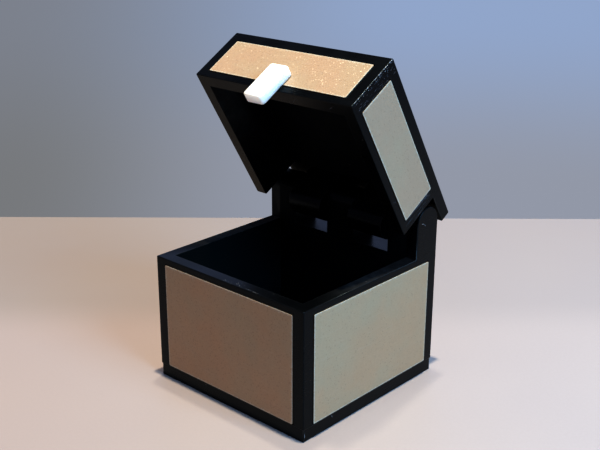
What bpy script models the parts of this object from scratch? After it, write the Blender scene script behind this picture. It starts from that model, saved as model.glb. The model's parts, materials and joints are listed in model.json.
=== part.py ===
"""A small square box with a hinged lid, printed as a dark frame with inlaid light panels.

Frame: the origin is the centre of the base's underside, on the surface the box stands on.
+X is to the right of the latch, +Y is towards the hinge, +Z is up. Units are metres.
The lid is modelled closed, around the hinge axis, and then turned open about that axis.
"""

import math

import bmesh
import bpy
from mathutils import Matrix, Vector

MM = 0.001

# The closed box is a cube: the base takes two thirds of its height and the lid one third.
BOX_SIDE = 75.0 * MM
BASE_HEIGHT = BOX_SIDE * 2 / 3
LID_HEIGHT = BOX_SIDE / 3
WALL = 5.0 * MM
REAR_WALL = 12.5 * MM
GAP = 0.3 * MM
EDGE_BREAK = 0.4 * MM

# The solid floor shrank a little more than the walls above it, which leaves a shallow step.
FLOOR_BAND = 4.8 * MM
FLOOR_STEP = 0.25 * MM
FLOOR_OVERLAP = 1.2 * MM

# The hinge: three posts on the rear wall, two knuckles under the lid and one rod.
POST_RADIUS = REAR_WALL / 2
HINGE_Y = BOX_SIDE / 2 - POST_RADIUS
HINGE_Z = 63.2 * MM
KNUCKLE_DROP = 5.1 * MM
CENTRE_POST_HALF = 6.75 * MM
OUTER_POST_INNER_X = 23.7 * MM
KNUCKLE_SIDE_GAP = 0.35 * MM
KNUCKLE_REAR_STEP = 0.15 * MM
ROD_RADIUS = 1.5 * MM
BORE_RADIUS = ROD_RADIUS + GAP
BORE_BLIND_LENGTH = 6.0 * MM
ROD_RECESS = 0.3 * MM
LID_ANGLE = math.radians(59.3)

# Panels lie in shallow pockets and stand a little proud of the frame.
POCKET_DEPTH = 2.0 * MM
PANEL_PROUD = 0.55 * MM
PANEL_CORNER = 0.5 * MM
PANEL_CHAMFER = 0.3 * MM
BASE_PANEL_SIDE = 5.0 * MM
BASE_PANEL_TOP = 2.5 * MM
BASE_PANEL_BOTTOM = 5.6 * MM
LID_PANEL_SIDE = 4.8 * MM
LID_PANEL_TOP = 4.8 * MM
LID_PANEL_BOTTOM = 3.0 * MM
LID_SIDE_PANEL_FRONT = 5.4 * MM

# The latch tab hangs from the lid's front over the base's front, a little right of the middle.
LATCH_X = 0.6 * MM
LATCH_WIDTH = 8.5 * MM
LATCH_TOP = 58.9 * MM
LATCH_BOTTOM = 42.15 * MM
LATCH_THICKNESS = 3.5 * MM
LATCH_CHAMFER = 0.5 * MM
PEG_WIDTH = 5.0 * MM
PEG_HEIGHT = 3.0 * MM
PEG_DEPTH = 3.4 * MM
PEG_Z = 56.0 * MM

# Heights and depths that follow from the dimensions above.
LID_RIM_Z = BASE_HEIGHT + GAP
LID_TOP_Z = LID_RIM_Z + LID_HEIGHT
LID_CEILING_Z = LID_TOP_Z - WALL
HALF = BOX_SIDE / 2
CAVITY_HALF = HALF - WALL
REAR_WALL_FRONT_Y = HALF - REAR_WALL
LID_SIDE_REAR_Y = REAR_WALL_FRONT_Y - KNUCKLE_SIDE_GAP
CUT_MARGIN = 1.0 * MM
WELD_DISTANCE = 0.001 * MM
SHARP_ANGLE = math.radians(50)
ARC_STEPS = 20
BORE_SEGMENTS = 32
CORNER_SEGMENTS = 4
CHAMFER_SEGMENTS = 2
CHAMFER_PROFILE = 0.6
ROUND_PROFILE = 0.5

FRAME_BLACK = (0.012, 0.013, 0.016)
PANEL_TAN = (0.46, 0.37, 0.26)
LATCH_WHITE = (0.86, 0.87, 0.88)
ROD_GREY = (0.55, 0.56, 0.58)


def remove_all_objects():
    for old in list(bpy.data.objects):
        bpy.data.objects.remove(old, do_unlink=True)


def new_collection(name):
    collection = bpy.data.collections.new(name)
    bpy.context.scene.collection.children.link(collection)
    return collection


def material(name, colour, roughness, metallic=0.0):
    made = bpy.data.materials.new(name)
    made.use_nodes = True
    shader = made.node_tree.nodes["Principled BSDF"]
    shader.inputs["Base Color"].default_value = (*colour, 1.0)
    shader.inputs["Roughness"].default_value = roughness
    shader.inputs["Metallic"].default_value = metallic
    return made


def mesh_object(name, mesh_builder, collection):
    """Fills a new object from a bmesh that mesh_builder makes."""
    built = mesh_builder()
    mesh = bpy.data.meshes.new(name)
    built.to_mesh(mesh)
    built.free()
    made = bpy.data.objects.new(name, mesh)
    collection.objects.link(made)
    return made


def block_mesh(low, high):
    """A box between two opposite corners, with exactly their coordinates."""
    built = bmesh.new()
    bmesh.ops.create_cube(built, size=1.0)
    for vert in built.verts:
        vert.co = [high[i] if vert.co[i] > 0 else low[i] for i in range(3)]
    return built


def block(name, low, high, collection):
    return mesh_object(name, lambda: block_mesh(low, high), collection)


def rod_mesh(radius, x_low, x_high):
    """A round bar along the hinge axis."""
    across = Matrix.Rotation(math.pi / 2, 4, "Y")
    placing = Matrix.Translation(((x_low + x_high) / 2, HINGE_Y, HINGE_Z)) @ across
    built = bmesh.new()
    bmesh.ops.create_cone(
        built,
        cap_ends=True,
        segments=BORE_SEGMENTS,
        radius1=radius,
        radius2=radius,
        depth=x_high - x_low,
        matrix=placing,
    )
    return built


def outline_object(name, outline, x_low, x_high, collection, edge_break=False):
    """Extrudes a closed outline of (y, z) points along X, as a welded mesh."""
    flat = bpy.data.curves.new(name + "_outline", "CURVE")
    flat.dimensions = "2D"
    flat.fill_mode = "BOTH"
    flat.extrude = (x_high - x_low) / 2
    spline = flat.splines.new("POLY")
    spline.points.add(len(outline) - 1)
    for point, (y, z) in zip(spline.points, outline):
        point.co = (y, z, 0.0, 1.0)
    spline.use_cyclic_u = True
    guide = bpy.data.objects.new(name + "_outline", flat)
    collection.objects.link(guide)
    # The outline's plane turns from XY to YZ, and its extrusion from Z to X.
    turn = Matrix(((0, 0, 1, 0), (1, 0, 0, 0), (0, 1, 0, 0), (0, 0, 0, 1)))
    guide.matrix_world = Matrix.Translation(((x_low + x_high) / 2, 0, 0)) @ turn
    bpy.context.view_layer.update()
    evaluated = guide.evaluated_get(bpy.context.evaluated_depsgraph_get())
    mesh = bpy.data.meshes.new_from_object(evaluated)
    mesh.name = name
    mesh.transform(guide.matrix_world)
    bpy.data.objects.remove(guide)
    built = bmesh.new()
    built.from_mesh(mesh)
    bmesh.ops.remove_doubles(built, verts=built.verts, dist=WELD_DISTANCE)
    bmesh.ops.recalc_face_normals(built, faces=built.faces)
    if edge_break:
        break_edges(built)
    built.to_mesh(mesh)
    built.free()
    made = bpy.data.objects.new(name, mesh)
    collection.objects.link(made)
    return made


def arc(centre_y, centre_z, radius, start, end):
    """Points of an arc in the YZ plane, angles in radians from +Y towards +Z."""
    steps = [start + (end - start) * i / ARC_STEPS for i in range(ARC_STEPS + 1)]
    return [
        (centre_y + radius * math.cos(a), centre_z + radius * math.sin(a)) for a in steps
    ]


def bevel_edges(built, edges, width, segments, profile):
    bmesh.ops.bevel(
        built, geom=edges, offset=width, segments=segments, profile=profile, affect="EDGES"
    )


def break_edges(built):
    """A small round on the sharp outward edges of the outer form."""
    sharp = [e for e in built.edges if e.calc_face_angle_signed() > SHARP_ANGLE]
    bevel_edges(built, sharp, EDGE_BREAK, CHAMFER_SEGMENTS, ROUND_PROFILE)


def boolean(target, tool, operation):
    """Adds an exact Boolean and marks its tool as a guide that isn't part of the model."""
    step = target.modifiers.new(tool.name, "BOOLEAN")
    step.operation = operation
    step.solver = "EXACT"
    step.object = tool
    tool.hide_render = True
    tool.display_type = "WIRE"


def cut_block(target, name, low, high, cutters):
    boolean(target, block(name, low, high, cutters), "DIFFERENCE")


def cut_bore(target, name, x_low, x_high, cutters):
    tool = mesh_object(name, lambda: rod_mesh(BORE_RADIUS, x_low, x_high), cutters)
    boolean(target, tool, "DIFFERENCE")


def grown(low, high, axis):
    """A panel's box grown by the fitting gap across its face, for the pocket's cutter."""
    spread = Vector([0.0 if i == axis else GAP for i in range(3)])
    return Vector(low) - spread, Vector(high) + spread


def panel_boxes():
    """Each panel's box: name -> (low corner, high corner, axis it faces along, side)."""
    sunk = POCKET_DEPTH - GAP
    proud = PANEL_PROUD
    base_low, base_high = BASE_PANEL_BOTTOM, BASE_HEIGHT - BASE_PANEL_TOP
    base_x = HALF - BASE_PANEL_SIDE
    lid_low, lid_high = LID_RIM_Z + LID_PANEL_BOTTOM, LID_TOP_Z - LID_PANEL_TOP
    lid_x = HALF - LID_PANEL_SIDE
    side_front = -HALF + LID_SIDE_PANEL_FRONT
    side_rear = LID_SIDE_REAR_Y - LID_PANEL_SIDE
    near, far = -HALF - proud, -HALF + sunk
    out, inner = HALF + proud, HALF - sunk
    return {
        "base_front_panel": ((-base_x, near, base_low), (base_x, far, base_high), 1, -1),
        "base_rear_panel": ((-base_x, inner, base_low), (base_x, out, base_high), 1, 1),
        "base_left_panel": ((near, -base_x, base_low), (far, base_x, base_high), 0, -1),
        "base_right_panel": ((inner, -base_x, base_low), (out, base_x, base_high), 0, 1),
        "lid_front_panel": ((-lid_x, near, lid_low), (lid_x, far, lid_high), 1, -1),
        "lid_left_panel": ((near, side_front, lid_low), (far, side_rear, lid_high), 0, -1),
        "lid_right_panel": ((inner, side_front, lid_low), (out, side_rear, lid_high), 0, 1),
        "lid_top_panel": (
            (-lid_x, -lid_x, LID_TOP_Z - sunk),
            (lid_x, lid_x, LID_TOP_Z + proud),
            2,
            1,
        ),
    }


def cut_pocket(target, panel_name, panel_box, cutters):
    """The shallow pocket that a panel lies in, open at the frame's face."""
    low, high, axis, side = panel_box
    low, high = grown(low, high, axis)
    if side < 0:
        low[axis] -= CUT_MARGIN
        high[axis] += GAP
    else:
        low[axis] -= GAP
        high[axis] += CUT_MARGIN
    cut_block(target, panel_name + "_pocket", low, high, cutters)


def panel_mesh(low, high, axis, side):
    """An inlaid plate with rounded corners and a chamfered outer edge."""
    built = block_mesh(low, high)
    corners = [e for e in built.edges if e.verts[0].co[axis] != e.verts[1].co[axis]]
    bevel_edges(built, corners, PANEL_CORNER, CORNER_SEGMENTS, ROUND_PROFILE)
    face_level = (high if side > 0 else low)[axis]
    rim = [
        e
        for e in built.edges
        if all(abs(v.co[axis] - face_level) < WELD_DISTANCE for v in e.verts)
    ]
    bevel_edges(built, rim, PANEL_CHAMFER, CHAMFER_SEGMENTS, CHAMFER_PROFILE)
    return built


def make_panel(name, panel_box, collection):
    low, high, axis, side = panel_box
    return mesh_object(name, lambda: panel_mesh(low, high, axis, side), collection)


def floor_slab(cutters):
    """The bottom band of the base, stepped in a little all round."""
    half = HALF - FLOOR_STEP
    top = FLOOR_BAND + FLOOR_OVERLAP
    outline = [(-half, 0.0), (half, 0.0), (half, top), (-half, top)]
    return outline_object("floor_slab", outline, -half, half, cutters, edge_break=True)


def base_body(panels, parts, cutters):
    """Open box whose thick rear wall rises into three round-topped hinge posts."""
    outline = [(-HALF, FLOOR_BAND), (HALF, FLOOR_BAND)]
    outline += arc(HINGE_Y, HINGE_Z, POST_RADIUS, 0.0, math.pi)
    outline += [(REAR_WALL_FRONT_Y, BASE_HEIGHT), (-HALF, BASE_HEIGHT)]
    body = outline_object("base_body", outline, -HALF, HALF, parts, edge_break=True)
    boolean(body, floor_slab(cutters), "UNION")
    cut_block(
        body,
        "base_cavity",
        (-CAVITY_HALF, -CAVITY_HALF, WALL),
        (CAVITY_HALF, REAR_WALL_FRONT_Y, LID_TOP_Z),
        cutters,
    )
    for side, label in ((-1, "left"), (1, "right")):
        edges = sorted((side * CENTRE_POST_HALF, side * OUTER_POST_INNER_X))
        cut_block(
            body,
            label + "_notch",
            (edges[0], REAR_WALL_FRONT_Y - CUT_MARGIN, BASE_HEIGHT),
            (edges[1], HALF + CUT_MARGIN, LID_TOP_Z),
            cutters,
        )
    for name, box in panels.items():
        if name.startswith("base"):
            cut_pocket(body, name, box, cutters)
    bore_end = HALF - BORE_BLIND_LENGTH
    cut_bore(body, "base_bore", -HALF - CUT_MARGIN, bore_end, cutters)
    return body


def knuckle_outline():
    """A knuckle from its root in the lid's top plate down to its round lower end."""
    round_z = HINGE_Z - KNUCKLE_DROP
    rear_radius = POST_RADIUS - KNUCKLE_REAR_STEP / 2
    centre_y = HINGE_Y - KNUCKLE_REAR_STEP / 2
    root_z = LID_CEILING_Z + CUT_MARGIN
    outline = [(centre_y + rear_radius, root_z), (centre_y - rear_radius, root_z)]
    return outline + arc(centre_y, round_z, rear_radius, math.pi, 2 * math.pi)


def lid_shell(panels, parts, cutters):
    """Lid tray, open towards the hinge, with two knuckles under its rear overhang."""
    outline = [
        (-HALF, LID_RIM_Z),
        (LID_SIDE_REAR_Y, LID_RIM_Z),
        (LID_SIDE_REAR_Y, LID_CEILING_Z),
        (HALF, LID_CEILING_Z),
        (HALF, LID_TOP_Z),
        (-HALF, LID_TOP_Z),
    ]
    shell = outline_object("lid_shell", outline, -HALF, HALF, parts, edge_break=True)
    cut_block(
        shell,
        "lid_cavity",
        (-CAVITY_HALF, -CAVITY_HALF, LID_RIM_Z - CUT_MARGIN),
        (CAVITY_HALF, LID_SIDE_REAR_Y + CUT_MARGIN, LID_CEILING_Z),
        cutters,
    )
    for side, label in ((-1, "left"), (1, "right")):
        inner = CENTRE_POST_HALF + KNUCKLE_SIDE_GAP
        outer = OUTER_POST_INNER_X - KNUCKLE_SIDE_GAP
        span = sorted((side * inner, side * outer))
        knuckle = outline_object(label + "_knuckle", knuckle_outline(), *span, cutters)
        boolean(shell, knuckle, "UNION")
    for name, box in panels.items():
        if name.startswith("lid"):
            cut_pocket(shell, name, box, cutters)
    cut_block(shell, "peg_socket", *peg_box(-HALF - CUT_MARGIN, GAP), cutters)
    bore_end = OUTER_POST_INNER_X
    cut_bore(shell, "lid_bore", -bore_end, bore_end, cutters)
    return shell


def latch_back_y():
    """The latch clears the panels, which stand proud of the frame."""
    return -HALF - PANEL_PROUD - GAP


def peg_box(front, gap):
    """The latch's peg from the plane y = front inwards, or with a gap, the socket it fills."""
    half_width = PEG_WIDTH / 2 + gap
    half_height = PEG_HEIGHT / 2 + gap
    low = (LATCH_X - half_width, front, PEG_Z - half_height)
    high = (LATCH_X + half_width, -HALF + PEG_DEPTH + gap, PEG_Z + half_height)
    return low, high


def latch_mesh():
    """The tab's plate: chamfered round its front and down its corners, with a flat back."""
    back = latch_back_y()
    half_width = LATCH_WIDTH / 2
    built = block_mesh(
        (LATCH_X - half_width, back - LATCH_THICKNESS, LATCH_BOTTOM),
        (LATCH_X + half_width, back, LATCH_TOP),
    )
    rear_level = max(v.co.y for v in built.verts)
    broken = [e for e in built.edges if min(v.co.y for v in e.verts) < rear_level]
    bevel_edges(built, broken, LATCH_CHAMFER, CHAMFER_SEGMENTS, ROUND_PROFILE)
    return built


def latch_tab(parts, cutters):
    """A pull tab with a square peg that plugs through the panel into the lid."""
    tab = mesh_object("latch_tab", latch_mesh, parts)
    root = latch_back_y() - LATCH_THICKNESS / 2
    boolean(tab, block("latch_peg", *peg_box(root, 0.0), cutters), "UNION")
    return tab


def hinge_rod(parts):
    """A straight pin pushed in from the left side and stopped by the right post."""
    right_end = HALF - BORE_BLIND_LENGTH - GAP
    left_end = -HALF + ROD_RECESS
    rod = mesh_object("hinge_rod", lambda: rod_mesh(ROD_RADIUS, left_end, right_end), parts)
    rod.data.shade_smooth()
    rod.data.set_sharp_from_angle(angle=SHARP_ANGLE)
    return rod


def open_lid(pieces):
    """Hangs the closed lid's pieces and cutters on an empty on the hinge axis, turned open."""
    axis_point = Vector((0.0, HINGE_Y, HINGE_Z))
    hinge = bpy.data.objects.new("lid_hinge", None)
    bpy.context.scene.collection.objects.link(hinge)
    hinge.location = axis_point
    hinge.rotation_euler = (-LID_ANGLE, 0.0, 0.0)
    for piece in pieces:
        piece.parent = hinge
        piece.matrix_parent_inverse = Matrix.Translation(-axis_point)


def build():
    remove_all_objects()
    parts = new_collection("hinged_box")
    base_cutters = new_collection("base_cutters")
    lid_cutters = new_collection("lid_cutters")

    black = material("frame_black", FRAME_BLACK, 0.42)
    tan = material("panel_tan", PANEL_TAN, 0.6)
    white = material("latch_white", LATCH_WHITE, 0.4)
    steel = material("rod_steel", ROD_GREY, 0.35, 1.0)

    panels = panel_boxes()
    lid_pieces = []

    body = base_body(panels, parts, base_cutters)
    body.data.materials.append(black.copy())

    shell = lid_shell(panels, parts, lid_cutters)
    shell.data.materials.append(black.copy())
    lid_pieces.append(shell)

    for name, box in panels.items():
        panel = make_panel(name, box, parts)
        panel.data.materials.append(tan.copy())
        if name.startswith("lid"):
            lid_pieces.append(panel)
        if name == "lid_front_panel":
            cut_block(panel, "peg_window", *peg_box(-HALF - CUT_MARGIN, GAP), lid_cutters)

    tab = latch_tab(parts, lid_cutters)
    tab.data.materials.append(white)
    lid_pieces.append(tab)

    rod = hinge_rod(parts)
    rod.data.materials.append(steel)

    open_lid(lid_pieces + list(lid_cutters.objects))


build()
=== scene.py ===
"""Looks of the hinged box: softened frames, fine panels, print marks, materials and studio.

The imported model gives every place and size. Lid pieces are shaped as if the lid were closed,
and are then turned open about the hinge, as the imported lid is.
"""

import json
import math
import random

import bmesh
import bpy
from mathutils import Matrix, Vector, noise


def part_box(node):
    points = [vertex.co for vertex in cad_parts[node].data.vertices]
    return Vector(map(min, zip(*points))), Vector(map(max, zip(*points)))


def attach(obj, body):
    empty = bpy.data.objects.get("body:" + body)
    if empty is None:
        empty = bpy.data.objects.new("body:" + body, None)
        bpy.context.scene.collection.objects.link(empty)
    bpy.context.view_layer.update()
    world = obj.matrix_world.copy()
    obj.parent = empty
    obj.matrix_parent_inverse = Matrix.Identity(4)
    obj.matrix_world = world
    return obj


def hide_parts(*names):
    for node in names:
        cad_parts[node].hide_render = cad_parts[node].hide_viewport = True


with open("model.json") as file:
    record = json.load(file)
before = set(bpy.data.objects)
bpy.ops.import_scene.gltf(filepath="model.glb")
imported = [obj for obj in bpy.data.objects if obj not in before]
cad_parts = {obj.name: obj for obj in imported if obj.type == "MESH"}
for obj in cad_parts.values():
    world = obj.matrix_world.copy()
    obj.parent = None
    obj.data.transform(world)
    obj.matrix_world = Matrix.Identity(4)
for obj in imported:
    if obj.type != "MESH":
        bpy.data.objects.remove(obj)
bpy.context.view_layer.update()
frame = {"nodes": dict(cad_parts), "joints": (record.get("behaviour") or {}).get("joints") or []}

MM = 0.001
SEED = 7

# The camera, as a photographer would set it up: where it looks, from where, and its lens.
AIM = Vector((-4.4, 6.4, 58.7)) * MM
CAMERA_DISTANCE = 395.3 * MM
CAMERA_AZIMUTH = math.radians(42.33)
CAMERA_ELEVATION = math.radians(20.09)
CAMERA_ROLL = math.radians(0.2)
CAMERA_LENS = 61.87

# The viewer's right, and the level direction away from the viewer.
VIEW_RIGHT = (math.cos(CAMERA_AZIMUTH), math.sin(CAMERA_AZIMUTH), 0.0)
VIEW_AHEAD = (-math.sin(CAMERA_AZIMUTH), math.cos(CAMERA_AZIMUTH), 0.0)

# Below 1, this deepens the shadows, as a camera's usual picture style does.
PICTURE_GAMMA = 0.75

# The table top ends behind the box, across the camera's line of sight.
TABLE_BACK = 181.0 * MM
TABLE_FRONT = 900.0 * MM
TABLE_HALF_WIDTH = 900.0 * MM
TABLE_THICKNESS = 24.0 * MM
TABLE_EDGE = 1.5 * MM
TABLE_DROP = 0.02 * MM

# Panels: the fineness of their surface, the round of their edge, the depth of their relief, and
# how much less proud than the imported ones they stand.
PANEL_STEP = 0.5 * MM
PANEL_CORNER = 0.45 * MM
PANEL_ROUND = 0.08 * MM
PANEL_RIM = 0.30 * MM
PANEL_BACK_CHAMFER = 0.2 * MM
PANEL_RELIEF = 0.02 * MM
PANEL_RELIEF_SIZE = 1.3 * MM
PANEL_SINK = 0.25 * MM
CORNER_STEPS = 5
EDGE_STEPS = 5
WALL_TOP = 1.5 * PANEL_ROUND

# A value painted on a panel's points, by which the material knows the rim and the walls.
RIM_MARK = "rim"
RIM_FADE = 1.6 * MM
RIM_FADE_MARK = 0.5
RIM_INNER_MARK = 0.75
WALL_MARK = 2.0

# The tab's edges, and the small gap behind the part of it that hangs over the base.
TAB_ROUND = 0.45 * MM
TAB_CORNER = 1.0 * MM
TAB_GAP = 0.12 * MM
TAB_PAD_INSET = 0.8 * MM

# Frames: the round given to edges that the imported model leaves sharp.
FRAME_ROUND = 0.12 * MM
FRAME_WELD = 0.1 * MM
FOOT_ROUND = 0.45 * MM
SHARP_ANGLE = math.radians(60)
SMOOTH_ANGLE = math.radians(50)
FLAT_ANGLE = math.radians(0.5)
WELD_DISTANCE = 0.001 * MM

# The hollow inside the walls, whose faces are duller than the outer ones.
CAVITY_HALF_X = 32.5 * MM
CAVITY_HALF_Y = 28.75 * MM
CAVITY_MIDDLE_Y = -3.75 * MM
CAVITY_FADE = (0.2 * MM, 0.05 * MM)

# The rod: chamfered ends.
ROD_SEGMENTS = 48
ROD_CHAMFER = 0.3 * MM

# How fine the textures are, in features to a metre.
CLOUD_ROUGHNESS = 0.55
LAYER_LINES = 2600.0
DUST_CELLS = 330.0
GRAIN_CELLS = 3400.0
SPECK_CELLS = 1300.0

# The panels' colours, and how far a glinting grain may lean. The pale tan also paints a highlight
# along the panels' rims, and the wall tan paints shade on their side walls.
BASE_PANEL_SHADES = ((0.436, 0.284, 0.183), (0.467, 0.310, 0.204))
LID_PANEL_SHADES = ((0.403, 0.281, 0.202), (0.434, 0.306, 0.223))
DEEP_TAN = (0.20, 0.125, 0.085)
WALL_SHADE_TAN = (0.07, 0.05, 0.04)
GREY_TAN = (0.41, 0.315, 0.22)
GREEN_TAN = (0.35, 0.32, 0.235)
PALE_TAN = (0.50, 0.46, 0.40)
GLINT_TILT = 1.0

# The heights about which the panels turn from redder below to greyer above, and how gradually.
BASE_PANEL_MIDDLE = 28.0 * MM
LID_PANEL_MIDDLE = 66.0 * MM
PANEL_FADE = 20.0 * MM

# The frame's two blacks, the grey of its edges (partly rubbed wear, partly a painted highlight)
# and its dust, and the paler plastic of its marks, partly a painted highlight for their glints.
FRAME_SHADES = ((0.0006, 0.0008, 0.0012), (0.0015, 0.0018, 0.0025))
FRAME_WEAR_AND_HIGHLIGHT = (0.045, 0.048, 0.055)
DUST_GREY = (0.28, 0.27, 0.26)
MARK_DEEP = (0.02, 0.022, 0.027)
SEAM_GLINT_PALE = (0.34, 0.36, 0.42)
SCUFF_GLINT_PALE = (0.10, 0.11, 0.15)

# The tab's and the rod's colours.
TAB_SHADES = ((0.87, 0.874, 0.88), (0.92, 0.92, 0.917))
TAB_EDGE = (0.96, 0.96, 0.95)
ROD_SHADES = ((0.46, 0.47, 0.49), (0.66, 0.66, 0.68))
ROD_STAIN = (0.24, 0.20, 0.17)

# The table's colours: its own two; a painted warm shade at the left; painted shade far off and far
# off at the left; and its specks.
TABLE_SHADES = ((0.350, 0.314, 0.336), (0.370, 0.334, 0.356))
TABLE_LEFT_SHADE = (0.343, 0.283, 0.280)
TABLE_FAR_SHADE = (0.322, 0.294, 0.318)
TABLE_FAR_LEFT_SHADE = (0.290, 0.246, 0.237)
TABLE_SPECK = (0.27, 0.23, 0.235)

# The backdrop's colours: left and right, low and high behind the box, and elsewhere.
BACKDROP_LOW = ((0.278, 0.285, 0.298), (0.392, 0.418, 0.490))
BACKDROP_HIGH = ((0.298, 0.318, 0.365), (0.386, 0.482, 0.675))
BACKDROP_ABOVE = (0.50, 0.62, 1.0)
BACKDROP_OVERHEAD = (0.03, 0.035, 0.05)
BACKDROP_FRONT = (0.190, 0.150, 0.172)

# Lamps: name, place and aim in metres, diameter in metres, power in watts and colour.
LAMPS = (
    ("lamp", (0.100, -0.003, 1.765), (0, 0, 0), 0.06, 45, (1, 0.875, 0.62)),
    ("second_lamp", (-0.150, 0.260, 1.960), (0, 0, 0), 0.10, 12.5, (1, 0.98, 0.76)),
    ("window", (0.75, -0.04, 0.56), (0, 0, 0.05), 0.48, 11.6, (0.312, 0.676, 1.0)),
)

# Scratches seen in the photo, each a bent line through points in mm of the closed box. The rim's
# nicks are strewn between two corners.
SIDE_SCRATCHES = (
    ((37.5, 27.2, 63.8), (37.5, 29.1, 63.4), (37.5, 29.8, 62.3)),
    ((37.5, -37.0, 3.9), (37.5, -36.8, 1.4)),
    ((37.5, -22.9, 5.0), (37.5, -21.9, 3.6)),
)
RIM_SCRATCHES = (
    ((9.0, -36.7, 50.0), (12.4, -36.6, 50.0), (16.1, -36.9, 50.0)),
    ((13.0, -37.0, 50.0), (13.6, -36.6, 50.0)),
    ((19.5, -33.3, 50.0), (20.1, -33.7, 50.0)),
)
RIM_NICKS = ((-4.0, -37.0, 50.0), (9.5, -34.0, 50.0))
LID_SIDE_SCRATCHES = (((37.5, 8.2, 50.5), (37.5, 9.6, 53.0)),)
LID_RIM_SCRATCHES = (
    ((25.6, -33.5, 50.3), (29.3, -36.0, 50.3)),
    ((27.2, -35.6, 50.3), (28.4, -34.0, 50.3)),
    ((9.9, -33.6, 50.3), (11.4, -35.2, 50.3)),
)
UP = Vector((0, 0, 1))
RIGHT = Vector((1, 0, 0))

hinge = frame["joints"][0]
HINGE_POINT = Vector(hinge["pos_m"])
OPEN_ANGLE = math.radians(hinge["range_deg"][0])
TO_OPEN = (
    Matrix.Translation(HINGE_POINT)
    @ Matrix.Rotation(OPEN_ANGLE, 4, "X")
    @ Matrix.Translation(-HINGE_POINT)
)
TO_CLOSED = TO_OPEN.inverted()


# ---------------------------------------------------------------- shader helpers


def add(tree, kind, inputs=None, **settings):
    """A new node with its settings, its inputs being values or other nodes' sockets."""
    node = tree.nodes.new(kind)
    for key, value in settings.items():
        setattr(node, key, value)
    for key, value in (inputs or {}).items():
        socket = node.inputs[key]
        if isinstance(value, bpy.types.NodeSocket):
            tree.links.new(value, socket)
        else:
            socket.default_value = value
    return node


def maths(tree, operation, a, b=0.0):
    return add(tree, "ShaderNodeMath", {0: a, 1: b}, operation=operation).outputs[0]


def rescale(tree, value, from_low, from_high, to_low=0.0, to_high=1.0):
    """Maps a range onto another, held at its ends."""
    node = add(
        tree,
        "ShaderNodeMapRange",
        {
            "Value": value,
            "From Min": from_low,
            "From Max": from_high,
            "To Min": to_low,
            "To Max": to_high,
        },
        interpolation_type="SMOOTHSTEP",
    )
    return node.outputs[0]


def mixed(tree, factor, a, b):
    """Mixes two colours."""
    node = add(tree, "ShaderNodeMix", data_type="RGBA")
    for key, value in (("Factor_Float", factor), ("A_Color", a), ("B_Color", b)):
        socket = next(s for s in node.inputs if s.identifier == key)
        if isinstance(value, bpy.types.NodeSocket):
            tree.links.new(value, socket)
        elif key == "Factor_Float":
            socket.default_value = value
        else:
            socket.default_value = (*value, 1.0)
    return next(s for s in node.outputs if s.identifier == "Result_Color")


def clouds(tree, place, scale, detail=3.0):
    """Soft noise, its scale being features to a metre."""
    node = add(
        tree,
        "ShaderNodeTexNoise",
        {"Vector": place, "Scale": scale, "Detail": detail, "Roughness": CLOUD_ROUGHNESS},
    )
    return node.outputs["Fac"]


def cells(tree, place, scale):
    """Random cells, so many to a metre, each with its own colour."""
    return add(tree, "ShaderNodeTexVoronoi", {"Vector": place, "Scale": scale})


def measured(tree, place, direction):
    """How far a place lies along a direction."""
    inputs = {0: place, 1: direction}
    return add(tree, "ShaderNodeVectorMath", inputs, operation="DOT_PRODUCT").outputs["Value"]


def stretched(tree, place, factors):
    """The place scaled by a factor along each axis, which draws a texture out into streaks."""
    node = add(tree, "ShaderNodeMapping", {"Vector": place, "Scale": factors})
    return node.outputs[0]


def bumped(tree, height, strength, distance, normal=None):
    inputs = {"Height": height, "Strength": strength, "Distance": distance}
    if normal is not None:
        inputs["Normal"] = normal
    return add(tree, "ShaderNodeBump", inputs).outputs[0]


def edge_mask(tree, radius):
    """1 along the edges of the shape and 0 on its flats, from how a rounded normal leans."""
    rounded = add(tree, "ShaderNodeBevel", {"Radius": radius}, samples=4).outputs[0]
    straight = add(tree, "ShaderNodeNewGeometry").outputs["True Normal"]
    return rescale(tree, measured(tree, rounded, straight), 0.995, 0.80)


def tilted(tree, random_colour, amount):
    """The surface normal, leant a random way in each cell by up to an amount."""
    centred = add(
        tree,
        "ShaderNodeVectorMath",
        {0: random_colour, 1: (0.5, 0.5, 0.5)},
        operation="SUBTRACT",
    ).outputs[0]
    lean = add(
        tree,
        "ShaderNodeVectorMath",
        {0: centred, "Scale": maths(tree, "MULTIPLY", amount, GLINT_TILT)},
        operation="SCALE",
    ).outputs[0]
    straight = add(tree, "ShaderNodeNewGeometry").outputs["Normal"]
    leant = add(tree, "ShaderNodeVectorMath", {0: straight, 1: lean}, operation="ADD")
    return add(
        tree, "ShaderNodeVectorMath", {0: leant.outputs[0]}, operation="NORMALIZE"
    ).outputs[0]


def new_material(name):
    made = bpy.data.materials.new(name)
    made.use_nodes = True
    tree = made.node_tree
    return made, tree, tree.nodes["Principled BSDF"]


def shade(tree, shader, colour, roughness, normal):
    tree.links.new(colour, shader.inputs["Base Color"])
    tree.links.new(roughness, shader.inputs["Roughness"])
    tree.links.new(normal, shader.inputs["Normal"])


def place_of(tree, on_lid):
    """Where a surface point lies in the closed box, so that a lid's marks turn with it."""
    place = add(tree, "ShaderNodeTexCoord").outputs["Object"]
    if not on_lid:
        return place
    turn = TO_CLOSED.to_euler()
    shift = TO_CLOSED.to_translation()
    return add(
        tree, "ShaderNodeMapping", {"Vector": place, "Location": shift, "Rotation": turn}
    ).outputs[0]


# ---------------------------------------------------------------- materials


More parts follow.
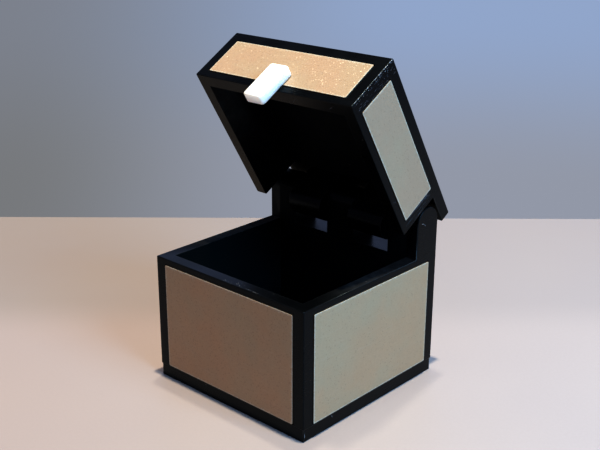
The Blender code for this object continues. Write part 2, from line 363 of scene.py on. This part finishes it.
def frame_material(name, on_lid):
    """Black printed plastic: layer bands, dust, edges painted grey as partly rubbed wear and
    partly a highlight, and duller inner faces.
    """
    made, tree, shader = new_material(name)
    place = place_of(tree, on_lid)
    split = add(tree, "ShaderNodeSeparateXYZ", {0: place})
    height = split.outputs["Z"]
    across = maths(tree, "ABSOLUTE", split.outputs["X"])
    along = maths(tree, "ABSOLUTE", maths(tree, "SUBTRACT", split.outputs["Y"], CAVITY_MIDDLE_Y))
    inside = maths(
        tree,
        "MULTIPLY",
        rescale(tree, across, *(CAVITY_HALF_X + fade for fade in CAVITY_FADE)),
        rescale(tree, along, *(CAVITY_HALF_Y + fade for fade in CAVITY_FADE)),
    )
    layers = add(
        tree,
        "ShaderNodeTexNoise",
        {"W": height, "Scale": LAYER_LINES, "Detail": 2.0},
        noise_dimensions="1D",
    ).outputs["Fac"]
    broad = clouds(tree, place, 60.0)
    grain = clouds(tree, place, 2400.0, 2.0)
    # Edges painted grey: partly rubbed wear, partly a painted highlight of the rounded edges.
    edges = maths(tree, "MULTIPLY", edge_mask(tree, 0.45 * MM), clouds(tree, place, 350.0))

    dust_cells = cells(tree, place, DUST_CELLS)
    near = rescale(tree, dust_cells.outputs["Distance"], 0.075, 0.045)
    pick = add(tree, "ShaderNodeSeparateColor", {0: dust_cells.outputs["Color"]}).outputs[0]
    dust = maths(tree, "MULTIPLY", near, rescale(tree, pick, 0.90, 0.93))

    colour = mixed(tree, broad, *FRAME_SHADES)
    colour = mixed(tree, edges, colour, FRAME_WEAR_AND_HIGHLIGHT)
    colour = mixed(tree, maths(tree, "MULTIPLY", dust, 0.5), colour, DUST_GREY)

    roughness = rescale(tree, broad, 0.3, 0.7, 0.26, 0.36)
    roughness = maths(tree, "ADD", roughness, rescale(tree, layers, 0.3, 0.7, -0.03, 0.05))
    roughness = maths(tree, "ADD", roughness, maths(tree, "MULTIPLY", inside, 0.45))

    normal = bumped(tree, layers, 0.25, 0.02 * MM)
    normal = bumped(tree, grain, 0.22, 0.03 * MM, normal)
    shade(tree, shader, colour, roughness, normal)
    shader.inputs["IOR"].default_value = 1.27
    shader.inputs["Specular Tint"].default_value = (0.57, 0.80, 1.0, 1.0)
    return made


def panel_material(name, on_lid, middle, shades):
    """Tan plastic from a textured sheet: fine grain, tilted glints, long scratches, a painted
    highlight on the rims and painted shade on the side walls.
    """
    made, tree, shader = new_material(name)
    place = place_of(tree, on_lid)
    grains = cells(tree, place, GRAIN_CELLS)
    tone = add(tree, "ShaderNodeSeparateColor", {0: grains.outputs["Color"]})
    fine = clouds(tree, place, 5200.0, 2.0)
    broad = clouds(tree, place, 45.0)
    scratches = clouds(tree, stretched(tree, place, (70.0, 70.0, 4200.0)), 1.0, 2.0)
    rim_breakup = rescale(tree, clouds(tree, place, 900.0), 0.38, 0.62, 0.30, 1.0)
    edge = add(tree, "ShaderNodeAttribute", attribute_name=RIM_MARK).outputs["Fac"]
    # Painted highlight: a pale band along each panel's rim, broken up by noise, for the light that
    # the rounded edge catches.
    rim = maths(tree, "MULTIPLY", rescale(tree, edge, RIM_FADE_MARK, 0.9), rim_breakup)
    specks = cells(tree, place, SPECK_CELLS)
    spot = rescale(tree, specks.outputs["Distance"], 0.42, 0.26)
    pick = add(tree, "ShaderNodeSeparateColor", {0: specks.outputs["Color"]})
    pale = rescale(tree, pick.outputs[0], 0.40, 0.60)
    # Pale nick specks, sparse on the face and thick along the rim, where they add dots to the
    # painted rim highlight.
    pale = maths(tree, "MULTIPLY", pale, rescale(tree, edge, 0.0, RIM_FADE_MARK, 0.04, 0.8))
    nicks = maths(tree, "MULTIPLY", spot, pale)
    dark = rescale(tree, pick.outputs[1], 0.80, 0.90, 0.0, 0.30)
    pits = maths(tree, "MULTIPLY", spot, dark)

    height = add(tree, "ShaderNodeSeparateXYZ", {0: place}).outputs["Z"]
    greyer = rescale(tree, height, middle - PANEL_FADE, middle + PANEL_FADE, -0.13, 0.13)
    hue = maths(tree, "ADD", clouds(tree, place, 22.0), greyer)
    colour = mixed(tree, broad, *shades)
    colour = mixed(tree, rescale(tree, hue, 0.4, 0.65, 0.0, 0.6), colour, GREY_TAN)
    patch = clouds(tree, place, 70.0)
    colour = mixed(tree, rescale(tree, patch, 0.40, 0.65, 0.0, 0.22), colour, GREEN_TAN)
    colour = mixed(tree, rescale(tree, tone.outputs[0], 0.9, 0.1, 0.0, 0.08), colour, DEEP_TAN)
    marks = rescale(tree, scratches, 0.60, 0.72, 0.0, 0.10)
    colour = mixed(tree, marks, colour, PALE_TAN)
    colour = mixed(tree, pits, colour, DEEP_TAN)
    colour = mixed(tree, nicks, colour, PALE_TAN)
    # Paints the rim highlight.
    colour = mixed(tree, rim, colour, PALE_TAN)
    # Painted shade: the panel's side walls turn dark below its rounded edge.
    colour = mixed(tree, rescale(tree, edge, 1.0, WALL_MARK), colour, WALL_SHADE_TAN)

    roughness = rescale(tree, tone.outputs[2], 0.2, 0.8, 0.44, 0.52)
    relief = maths(tree, "ADD", grains.outputs["Distance"], maths(tree, "MULTIPLY", fine, 0.4))
    normal = bumped(tree, relief, 0.22, 0.08 * MM)
    shade(tree, shader, colour, roughness, normal)
    shader.inputs["IOR"].default_value = 1.45

    glint = rescale(tree, tone.outputs[1], 0.30, 0.50)
    glints = tilted(tree, grains.outputs["Color"], glint)
    tree.links.new(glints, shader.inputs["Coat Normal"])
    shader.inputs["Coat Weight"].default_value = 0.26
    shader.inputs["Coat Roughness"].default_value = 0.25
    shader.inputs["Coat IOR"].default_value = 1.5
    shader.inputs["Coat Tint"].default_value = (1.0, 0.95, 0.85, 1.0)
    return made


def tab_material():
    """Smooth white plastic with faint layers."""
    made, tree, shader = new_material("latch_white")
    place = place_of(tree, True)
    broad = clouds(tree, place, 160.0)
    layers = clouds(tree, stretched(tree, place, (60.0, 3600.0, 60.0)), 1.0, 1.0)
    edges = edge_mask(tree, 0.4 * MM)
    colour = mixed(tree, broad, *TAB_SHADES)
    colour = mixed(tree, maths(tree, "MULTIPLY", edges, 0.4), colour, TAB_EDGE)
    roughness = rescale(tree, broad, 0.3, 0.7, 0.34, 0.44)
    normal = bumped(tree, layers, 0.18, 0.03 * MM)
    shade(tree, shader, colour, roughness, normal)
    shader.inputs["Subsurface Weight"].default_value = 0.85
    shader.inputs["Subsurface Radius"].default_value = (1.0, 0.95, 0.90)
    shader.inputs["Subsurface Scale"].default_value = 6.0 * MM
    return made


def rod_material():
    """Drawn steel wire, with fine lines along it."""
    made, tree, shader = new_material("rod_steel")
    place = place_of(tree, False)
    lines = clouds(tree, stretched(tree, place, (90.0, 5200.0, 5200.0)), 1.0, 2.0)
    stains = clouds(tree, place, 300.0)
    colour = mixed(tree, lines, *ROD_SHADES)
    colour = mixed(tree, rescale(tree, stains, 0.55, 0.8, 0.0, 0.4), colour, ROD_STAIN)
    roughness = rescale(tree, lines, 0.3, 0.7, 0.25, 0.45)
    normal = bumped(tree, lines, 0.2, 0.02 * MM)
    shade(tree, shader, colour, roughness, normal)
    shader.inputs["Metallic"].default_value = 1.0
    return made


def glint_material(name, on_lid, pale):
    """The same black plastic on torn and blobbed marks: smoother, and paler, partly as a painted
    highlight for their glints.
    """
    made, tree, shader = new_material(name)
    place = place_of(tree, on_lid)
    mottle = clouds(tree, place, 1800.0)
    # The pale end is partly a painted highlight, for the glints of the beads and scratches.
    colour = mixed(tree, mottle, MARK_DEEP, pale)
    roughness = rescale(tree, mottle, 0.3, 0.7, 0.12, 0.3)
    normal = bumped(tree, mottle, 0.3, 0.03 * MM)
    shade(tree, shader, colour, roughness, normal)
    return made


def table_material():
    """Pale laminate with a faint mottle, and painted shade: browner to the viewer's left and
    duller far off.
    """
    made, tree, shader = new_material("table")
    place = place_of(tree, False)
    broad = clouds(tree, place, 9.0)
    fine = clouds(tree, place, 900.0, 2.0)
    colour = mixed(tree, broad, *TABLE_SHADES)
    # Painted shade: browner and darker to the viewer's left, and darker far off behind the box.
    left = rescale(tree, measured(tree, place, VIEW_RIGHT), 0.12, -0.12)
    colour = mixed(tree, left, colour, TABLE_LEFT_SHADE)
    far = rescale(tree, measured(tree, place, VIEW_AHEAD), 0.030, 0.070)
    colour = mixed(tree, far, colour, mixed(tree, left, TABLE_FAR_SHADE, TABLE_FAR_LEFT_SHADE))
    colour = mixed(tree, rescale(tree, fine, 0.35, 0.65, 0.0, 0.06), colour, TABLE_SPECK)
    roughness = rescale(tree, broad, 0.3, 0.7, 0.45, 0.55)
    normal = bumped(tree, fine, 0.05, 0.05 * MM)
    shade(tree, shader, colour, roughness, normal)
    return made


# ---------------------------------------------------------------- shapes


def mesh_piece(name, built, skin, turned=False):
    """A new object from a bmesh, turned open with the lid if it belongs there."""
    if turned:
        built.transform(TO_OPEN)
    mesh = bpy.data.meshes.new(name)
    built.to_mesh(mesh)
    built.free()
    mesh.materials.append(skin)
    piece = bpy.data.objects.new(name, mesh)
    bpy.context.scene.collection.objects.link(piece)
    return piece


def smooth(piece):
    """Smooth shading whose flats stay flat."""
    piece.data.shade_smooth()
    piece.data.set_sharp_from_angle(angle=SMOOTH_ANGLE)
    weighted = piece.modifiers.new("even_flats", "WEIGHTED_NORMAL")
    weighted.keep_sharp = True


def stand_for(piece, node, body):
    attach(piece, body)
    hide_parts(node)


def closed_box(node, on_lid):
    """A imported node's lowest and highest corners, with the lid closed."""
    points = [v.co for v in frame["nodes"][node].data.vertices]
    if on_lid:
        points = [TO_CLOSED @ p for p in points]
    low = Vector([min(p[i] for p in points) for i in range(3)])
    high = Vector([max(p[i] for p in points) for i in range(3)])
    return low, high


def square_foot(built):
    """Straightens the round at the base's foot, so that it gets the small round of other edges."""
    foot = [v for v in built.verts if v.co.z < FOOT_ROUND]
    level = max(v.co.z for v in foot)
    ring = [v.co.xy for v in foot if v.co.z > level - WELD_DISTANCE]
    for v in foot:
        v.co.xy = min(ring, key=lambda place: (place - v.co.xy).length)


def softened_frame(name, node, body, skin):
    """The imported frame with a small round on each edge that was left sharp."""
    built = bmesh.new()
    built.from_mesh(frame["nodes"][node].data)
    bmesh.ops.remove_doubles(built, verts=built.verts, dist=FRAME_WELD)
    if body == "base":
        square_foot(built)
    bmesh.ops.dissolve_limit(
        built, angle_limit=FLAT_ANGLE, verts=built.verts, edges=built.edges
    )
    sharp = [e for e in built.edges if e.calc_face_angle_signed(0.0) > SHARP_ANGLE]
    bmesh.ops.bevel(
        built,
        geom=sharp,
        offset=FRAME_ROUND,
        segments=2,
        profile=0.5,
        affect="EDGES",
        clamp_overlap=True,
    )
    piece = mesh_piece(name, built, skin)
    smooth(piece)
    stand_for(piece, node, body)


def side_normals():
    """The four outward directions of a rectangle's sides, from its lower side round."""
    return [Vector((0, -1)), Vector((1, 0)), Vector((0, 1)), Vector((-1, 0))]


def perimeter(columns, rows):
    """Stations round a grid's rim: the grid place each hangs on, and its outward direction.

    Each side has a station at each of its grid points, and each corner a fan of them between.
    """
    sides = [
        [(i, 0) for i in range(columns + 1)],
        [(columns, j) for j in range(rows + 1)],
        [(i, rows) for i in range(columns, -1, -1)],
        [(0, j) for j in range(rows, -1, -1)],
    ]
    stations = []
    for side, normal in zip(sides, side_normals()):
        stations += [(place, normal) for place in side]
        for step in range(1, CORNER_STEPS):
            turn = Matrix.Rotation(math.pi / 2 * step / CORNER_STEPS, 2)
            stations.append((side[-1], turn @ normal))
    return stations


def edge_drop(distance):
    """How far a panel's rounded edge falls away at a distance in from its outline."""
    if distance >= PANEL_ROUND:
        return 0.0
    run = PANEL_ROUND - distance
    return PANEL_ROUND - math.sqrt(max(PANEL_ROUND**2 - run**2, 0.0))


def panel_rings(thickness):
    """Rings from the panel's flat out over its rounded edge and down to its back.

    Each is (distance in from the outline, height under the face).
    """
    rings = [(PANEL_RIM * 1.1, 0.0), (PANEL_RIM, 0.0)]
    for i in range(EDGE_STEPS + 1):
        distance = PANEL_ROUND * (1 - math.sin(math.pi / 2 * i / EDGE_STEPS))
        rings.append((distance, -edge_drop(distance)))
    rings.append((0.0, -WALL_TOP))
    rings.append((0.0, PANEL_BACK_CHAMFER - thickness))
    rings.append((PANEL_BACK_CHAMFER, -thickness))
    return rings


def panel_shape(half_u, half_v, thickness, seed):
    """A closed plate about its face's centre: u and v along the face, w out of it."""
    inner_u, inner_v = half_u - PANEL_CORNER, half_v - PANEL_CORNER
    columns = round(2 * inner_u / PANEL_STEP)
    rows = round(2 * inner_v / PANEL_STEP)
    built = bmesh.new()
    rim_mark = built.verts.layers.float.new(RIM_MARK)
    grid = {}
    for i in range(columns + 1):
        for j in range(rows + 1):
            u = inner_u * (2 * i / columns - 1)
            v = inner_v * (2 * j / rows - 1)
            lift = noise.noise(Vector((u, v, 0)) / PANEL_RELIEF_SIZE + Vector((0, 0, seed)))
            inward = min(half_u - abs(u), half_v - abs(v)) / RIM_FADE
            grid[i, j] = built.verts.new((u, v, lift * PANEL_RELIEF))
            at_rim = i in (0, columns) or j in (0, rows)
            fade = max(0.0, 1.0 - inward) * RIM_FADE_MARK
            grid[i, j][rim_mark] = RIM_INNER_MARK if at_rim else fade
    for i in range(columns):
        for j in range(rows):
            built.faces.new((grid[i, j], grid[i + 1, j], grid[i + 1, j + 1], grid[i, j + 1]))

    stations = perimeter(columns, rows)
    count = len(stations)
    last = [grid[place] for place, _ in stations]
    for distance, height in panel_rings(thickness):
        reach = PANEL_CORNER - distance
        mark = 1.0 if distance <= PANEL_RIM else RIM_FADE_MARK
        if height < -PANEL_ROUND:
            mark = WALL_MARK
        ring = []
        for place, outward in stations:
            corner = grid[place].co
            ring.append(
                built.verts.new(
                    (corner.x + outward.x * reach, corner.y + outward.y * reach, height)
                )
            )
            ring[-1][rim_mark] = mark
        for k in range(count):
            n = (k + 1) % count
            if last[k] is last[n]:
                built.faces.new((last[k], ring[k], ring[n]))
            else:
                built.faces.new((last[k], ring[k], ring[n], last[n]))
        last = ring
    built.faces.new(list(reversed(last)))
    return built


def face_axes(axis, side):
    """The along, up and outward directions of the face that looks along an axis."""
    outward = Vector([side if i == axis else 0 for i in range(3)])
    if axis == 2:
        return Vector((1, 0, 0)), Vector((0, 1, 0)), outward
    up = Vector((0, 0, 1))
    return up.cross(outward), up, outward


def fine_panel(node, axis, side, skin, seed):
    """Stands for a packed panel: rounded rim, rounded corners and a slightly uneven face."""
    on_lid = node.startswith("lid")
    low, high = closed_box(node, on_lid)
    along, up, outward = face_axes(axis, side)
    size = high - low
    half_u = abs(size.dot(along)) / 2
    half_v = abs(size.dot(up)) / 2
    centre = (low + high) / 2 + outward * (size[axis] / 2 - PANEL_SINK)
    built = panel_shape(half_u, half_v, size[axis] - PANEL_SINK, seed)
    turn = Matrix((along, up, outward)).transposed().to_4x4()
    built.transform(Matrix.Translation(centre) @ turn)
    piece = mesh_piece(node.replace("panel", "inlay"), built, skin, on_lid)
    smooth(piece)
    stand_for(piece, node, "lid" if on_lid else "base")


def box_between(built, low, high):
    """Adds a box to a bmesh and returns its vertices."""
    size = high - low
    placing = Matrix.Translation((low + high) / 2) @ Matrix.Diagonal((*size, 1.0))
    return bmesh.ops.create_cube(built, size=1.0, matrix=placing)["verts"]


def fine_tab(skin):
    """The white pull tab, its edges rounded, on a pad that meets the panel."""
    low, high = closed_box("latch_tab", True)
    panel_face = closed_box("lid_front_panel", True)[0].y
    lid_edge = closed_box("lid_shell", True)[0].z
    rear = panel_face - TAB_GAP
    built = bmesh.new()
    box_between(built, low, Vector((high.x, rear, high.z)))
    corners = [e for e in built.edges if abs(e.verts[0].co.y - e.verts[1].co.y) > TAB_CORNER]
    bmesh.ops.bevel(
        built, geom=corners, offset=TAB_CORNER, segments=2, profile=0.5, affect="EDGES"
    )
    front = [e for e in built.edges if max(v.co.y for v in e.verts) < low.y + WELD_DISTANCE]
    bmesh.ops.bevel(
        built, geom=front, offset=TAB_ROUND, segments=4, profile=0.5, affect="EDGES"
    )
    pad_low = Vector((low.x + TAB_PAD_INSET, rear - TAB_GAP, lid_edge + TAB_PAD_INSET))
    pad_high = Vector((high.x, panel_face + PANEL_SINK + TAB_GAP, high.z))
    pad_high -= Vector((TAB_PAD_INSET, 0, TAB_PAD_INSET))
    box_between(built, pad_low, pad_high)
    piece = mesh_piece("pull_tab", built, skin, True)
    smooth(piece)
    stand_for(piece, "latch_tab", "lid")


def fine_rod(skin):
    """The hinge's wire rod, with chamfered ends."""
    low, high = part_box("hinge_rod")
    radius = (high.z - low.z) / 2
    across = Matrix.Rotation(math.pi / 2, 4, "Y")
    built = bmesh.new()
    bmesh.ops.create_cone(
        built,
        cap_ends=True,
        segments=ROD_SEGMENTS,
        radius1=radius,
        radius2=radius,
        depth=high.x - low.x,
        matrix=Matrix.Translation((low + high) / 2) @ across,
    )
    ends = [e for e in built.edges if e.calc_face_angle(0.0) > SMOOTH_ANGLE]
    bmesh.ops.bevel(
        built, geom=ends, offset=ROD_CHAMFER, segments=3, profile=0.5, affect="EDGES"
    )
    piece = mesh_piece("hinge_wire", built, skin)
    smooth(piece)
    stand_for(piece, "hinge_rod", "base")


def blob_row(name, start, end, count, sizes, body, skin):
    """Small flattened beads of plastic along a line, as a print's seam leaves them."""
    draw = random.Random(SEED)
    built = bmesh.new()
    for _ in range(count):
        share = draw.random()
        size = sizes[0] + (sizes[1] - sizes[0]) * draw.random() ** 2
        shape = Matrix.Diagonal((size, size, size * draw.uniform(0.8, 2.2), 1.0))
        spot = start.lerp(end, share)
        bmesh.ops.create_icosphere(
            built, subdivisions=2, radius=1.0, matrix=Matrix.Translation(spot) @ shape
        )
    piece = mesh_piece(name, built, skin, body == "lid")
    piece.data.shade_smooth()
    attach(piece, body)


def slivers(name, strokes, body, skin):
    """Thin raised scratches, each a sliver from one point to another that tapers at both ends.

    Each stroke is (start, end, outward direction, width, height).
    """
    built = bmesh.new()
    for start, end, outward, width, height in strokes:
        across = (end - start).cross(outward).normalized() * width / 2
        middle = (start + end) / 2
        ring = [middle + across, middle + outward * height, middle - across]
        ring.append(middle - outward * height)
        ring = [built.verts.new(p) for p in ring]
        tips = [built.verts.new(start), built.verts.new(end)]
        for i in range(4):
            n = (i + 1) % 4
            built.faces.new((ring[i], ring[n], tips[1]))
            built.faces.new((ring[n], ring[i], tips[0]))
    bmesh.ops.recalc_face_normals(built, faces=built.faces)
    piece = mesh_piece(name, built, skin, body == "lid")
    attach(piece, body)


def bent_line(points, outward, width, height):
    """Strokes that join points, in mm, into one bent scratch."""
    spots = [Vector(p) * MM for p in points]
    return [(a, b, outward, width, height) for a, b in zip(spots, spots[1:])]


def strewn_strokes(draw, low, high, count, along, lengths, outward):
    """Strokes strewn over a flat patch between two corners, mostly along one direction."""
    strokes = []
    for _ in range(count):
        start = Vector([draw.uniform(a, b) for a, b in zip(low, high)])
        lean = Vector([draw.uniform(-0.06, 0.06) for _ in range(3)])
        lean -= outward * lean.dot(outward)
        end = start + (along + lean) * draw.uniform(*lengths)
        end = Vector([min(max(e, a), b) for e, a, b in zip(end, low, high)])
        if (end - start).length > lengths[0] / 2:
            width = draw.uniform(0.06, 0.22) * MM
            strokes.append((start, end, outward, width, draw.uniform(0.015, 0.04) * MM))
    return strokes


def base_marks(skin):
    """A hooked scratch on the right post, and nicks along the front rim and low corner."""
    draw = random.Random(SEED)
    strokes = []
    for points in SIDE_SCRATCHES:
        strokes += bent_line(points, RIGHT, 0.30 * MM, 0.07 * MM)
    for points in RIM_SCRATCHES:
        strokes += bent_line(points, UP, 0.12 * MM, 0.03 * MM)
    low, high = (Vector(corner) * MM for corner in RIM_NICKS)
    slant = Vector((0.7, -0.7, 0.0))
    strokes += strewn_strokes(draw, low, high, 14, slant, (0.6 * MM, 2.2 * MM), UP)
    slivers("base_scratches", strokes, "base", skin)


def lid_marks(skin):
    """Lines along the lid's side rails, and small crossed scratches under its front rim."""
    draw = random.Random(SEED + 1)
    low, high = closed_box("lid_shell", True)
    panel_low, panel_high = closed_box("lid_right_panel", True)
    inset = 0.5 * MM
    strokes = []
    rail_low = Vector((high.x, panel_high.y + inset, low.z + inset))
    rail_high = Vector((high.x, panel_high.y + 4.4 * MM, high.z - 5.5 * MM))
    strokes += strewn_strokes(
        draw, rail_low, rail_high, 16, UP, (5.0 * MM, 18.0 * MM), RIGHT
    )
    stile_low = Vector((high.x, low.y + inset, low.z + inset))
    stile_high = Vector((high.x, panel_low.y - inset, high.z - inset))
    strokes += strewn_strokes(
        draw, stile_low, stile_high, 44, UP, (0.5 * MM, 2.6 * MM), RIGHT
    )
    for points in LID_SIDE_SCRATCHES:
        strokes += bent_line(points, RIGHT, 0.16 * MM, 0.04 * MM)
    for points in LID_RIM_SCRATCHES:
        strokes += bent_line(points, -UP, 0.14 * MM, 0.04 * MM)
    slivers("lid_scratches", strokes, "lid", skin)


# ---------------------------------------------------------------- studio


def camera_back():
    """From the aim towards the camera."""
    level = math.cos(CAMERA_ELEVATION)
    return Vector(
        (
            math.sin(CAMERA_AZIMUTH) * level,
            -math.cos(CAMERA_AZIMUTH) * level,
            math.sin(CAMERA_ELEVATION),
        )
    )


def make_camera():
    data = bpy.data.cameras.new("camera")
    data.lens = CAMERA_LENS
    data.sensor_width = 36.0
    data.clip_start = 0.01
    data.clip_end = 100.0
    camera = bpy.data.objects.new("camera", data)
    bpy.context.scene.collection.objects.link(camera)
    back = camera_back()
    turn = (-back).to_track_quat("-Z", "Y").to_matrix().to_4x4()
    roll = Matrix.Rotation(CAMERA_ROLL, 4, "Z")
    camera.matrix_world = Matrix.Translation(AIM + back * CAMERA_DISTANCE) @ turn @ roll
    bpy.context.scene.camera = camera


def area_light(name, place, target, size, power, colour):
    data = bpy.data.lights.new(name, "AREA")
    data.shape = "DISK"
    data.size = size
    data.energy = power
    data.color = colour
    lamp = bpy.data.objects.new(name, data)
    bpy.context.scene.collection.objects.link(lamp)
    direction = Vector(target) - Vector(place)
    turn = direction.to_track_quat("-Z", "Y").to_matrix().to_4x4()
    lamp.matrix_world = Matrix.Translation(place) @ turn


def make_table():
    built = bmesh.new()
    low = Vector((-TABLE_HALF_WIDTH, -TABLE_FRONT, -TABLE_THICKNESS))
    box_between(built, low, Vector((TABLE_HALF_WIDTH, TABLE_BACK, 0.0)))
    bmesh.ops.bevel(
        built,
        geom=list(built.edges),
        offset=TABLE_EDGE,
        segments=3,
        profile=0.5,
        affect="EDGES",
    )
    drop = Matrix.Translation((0, 0, -TABLE_DROP))
    built.transform(drop @ Matrix.Rotation(CAMERA_AZIMUTH, 4, "Z"))
    table = mesh_piece("table", built, table_material())
    smooth(table)


def make_world():
    """A plain soft backdrop: grey at the left, bluer to the right and up, dim to the viewer."""
    world = bpy.data.worlds.new("studio")
    bpy.context.scene.world = world
    world.use_nodes = True
    tree = world.node_tree
    way = add(tree, "ShaderNodeTexCoord").outputs["Generated"]
    across = measured(tree, way, VIEW_RIGHT)
    behind = rescale(tree, measured(tree, way, VIEW_AHEAD), -0.2, 0.75)
    height = add(tree, "ShaderNodeSeparateXYZ", {0: way}).outputs["Z"]
    low = mixed(tree, rescale(tree, across, -0.28, 0.0), *BACKDROP_LOW)
    high = mixed(tree, rescale(tree, across, -0.28, 0.12), *BACKDROP_HIGH)
    colour = mixed(tree, rescale(tree, height, -0.30, -0.14), low, high)
    colour = mixed(tree, rescale(tree, height, -0.05, 0.30), colour, BACKDROP_ABOVE)
    colour = mixed(tree, rescale(tree, height, 0.42, 0.75), colour, BACKDROP_OVERHEAD)
    colour = mixed(tree, behind, BACKDROP_FRONT, colour)
    background = tree.nodes["Background"]
    tree.links.new(colour, background.inputs["Color"])


PANEL_FACES = {
    "base_front_panel": (1, -1),
    "base_rear_panel": (1, 1),
    "base_left_panel": (0, -1),
    "base_right_panel": (0, 1),
    "lid_front_panel": (1, -1),
    "lid_left_panel": (0, -1),
    "lid_right_panel": (0, 1),
    "lid_top_panel": (2, 1),
}


def make_pieces():
    softened_frame("base_frame", "base_body", "base", frame_material("base_black", False))
    softened_frame("lid_frame", "lid_shell", "lid", frame_material("lid_black", True))
    skins = {
        "base": panel_material("base_tan", False, BASE_PANEL_MIDDLE, BASE_PANEL_SHADES),
        "lid": panel_material("lid_tan", True, LID_PANEL_MIDDLE, LID_PANEL_SHADES),
    }
    for seed, (node, (axis, side)) in enumerate(PANEL_FACES.items()):
        fine_panel(node, axis, side, skins[node.split("_")[0]], seed * 10.0)
    fine_tab(tab_material())
    fine_rod(rod_material())

    low, high = closed_box("lid_shell", True)
    corner = Vector((high.x - 0.1 * MM, low.y + 0.1 * MM, 0.0))
    rim = Vector((0, 0, low.z + 1.0 * MM))
    top = Vector((0, 0, high.z - 0.6 * MM))
    # The seam beads' and scratches' pale colour is partly a painted highlight for their glints.
    glint = glint_material("lid_glint", True, SEAM_GLINT_PALE)
    blob_row("lid_seam", corner + rim, corner + top, 64, (0.08 * MM, 0.24 * MM), "lid", glint)
    corner = Vector((high.x, low.y + 1.0 * MM, 0.0))
    blob_row(
        "lid_seam_side", corner + rim, corner + top, 40, (0.04 * MM, 0.13 * MM), "lid", glint
    )
    lid_marks(glint_material("lid_scuff_glint", True, SCUFF_GLINT_PALE))
    base_marks(glint_material("base_glint", False, SEAM_GLINT_PALE))


make_camera()
make_pieces()
make_table()
make_world()
for lamp in LAMPS:
    area_light(*lamp)
bpy.context.scene.view_settings.view_transform = "Standard"
bpy.context.scene.view_settings.gamma = PICTURE_GAMMA
